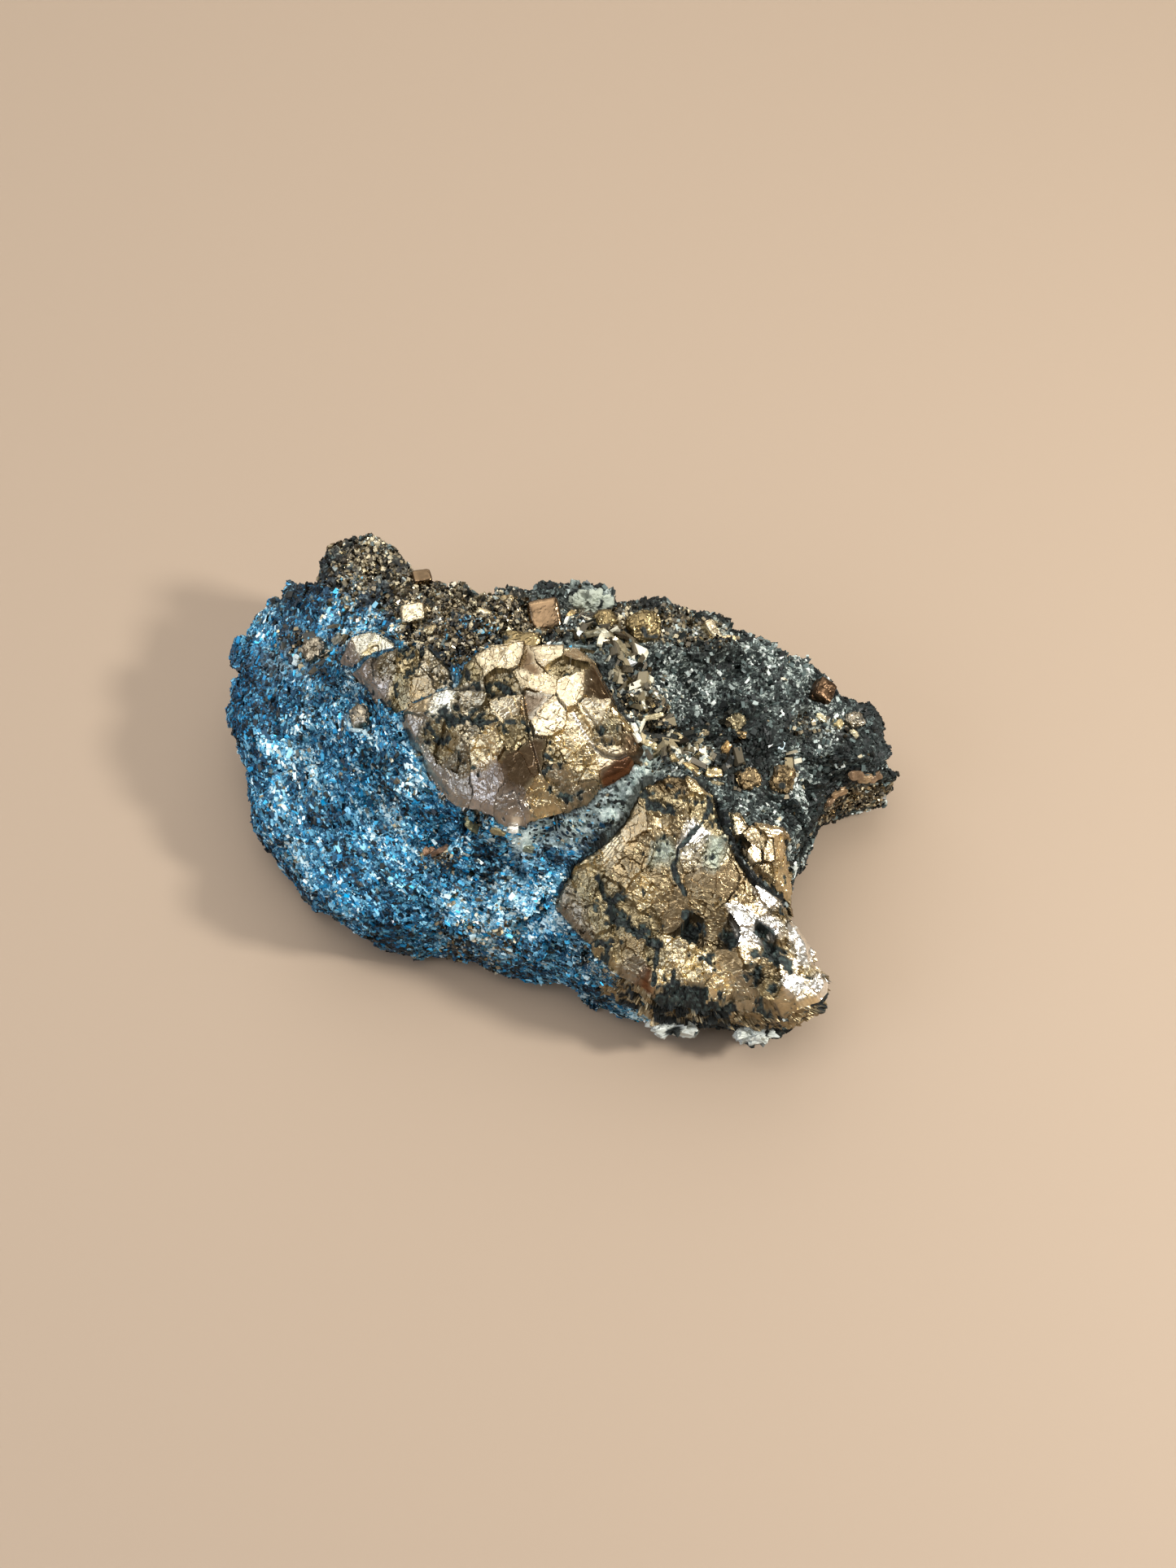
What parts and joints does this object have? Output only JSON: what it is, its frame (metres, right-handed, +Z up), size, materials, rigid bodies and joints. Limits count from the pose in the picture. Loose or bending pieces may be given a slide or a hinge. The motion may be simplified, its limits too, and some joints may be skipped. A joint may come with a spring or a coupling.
{
  "type": "pyrite crystal specimen",
  "caption": "Loose hand specimen: stepped, striated pyrite crystals seated in a lump of fine-grained mica and chlorite schist.",
  "frame": {"origin": "middle of the specimen's plan, in the plane that it rests on", "axes": "+X along the length of the specimen towards its tapering arm, +Y towards the knob, +Z up from the resting face to the crest"},
  "size_m": [0.0847, 0.0632, 0.0349],
  "materials": {
    "schist": "fine-grained grey-green to blue-grey rock with glinting mica and chlorite flakes",
    "pyrite": "pale brassy metal, stepped and striated, tarnished brown in places, with dark chlorite between the plates",
    "quartz": "pale glassy granular crust"
  },
  "bodies": {
    "root": {"matrix_schist": "schist", "pyrite_crystal_upper": "pyrite", "pyrite_crystal_lower": "pyrite", "pyrite_crystal_right": "pyrite", "pyrite_block_left_top": "pyrite", "pyrite_block_left_lower": "pyrite", "pyrite_cube_knob": "pyrite", "pyrite_plate_knob": "pyrite", "pyrite_cube_crest": "pyrite", "pyrite_block_amber": "pyrite", "pyrite_rounded_large": "pyrite", "pyrite_rounded_small": "pyrite", "pyrite_blade_crest": "pyrite", "pyrite_grain_arm_pale": "pyrite", "pyrite_grain_arm_brown": "pyrite", "pyrite_grain_arm_near": "pyrite", "pyrite_block_arm_edge": "pyrite", "pyrite_grain_arm_tip": "pyrite", "pyrite_grain_left_near": "pyrite", "pyrite_grain_left_far": "pyrite", "quartz_crust_near": "quartz", "quartz_crust_corner": "quartz", "quartz_crust_crest": "quartz"}
  },
  "joints": []
}
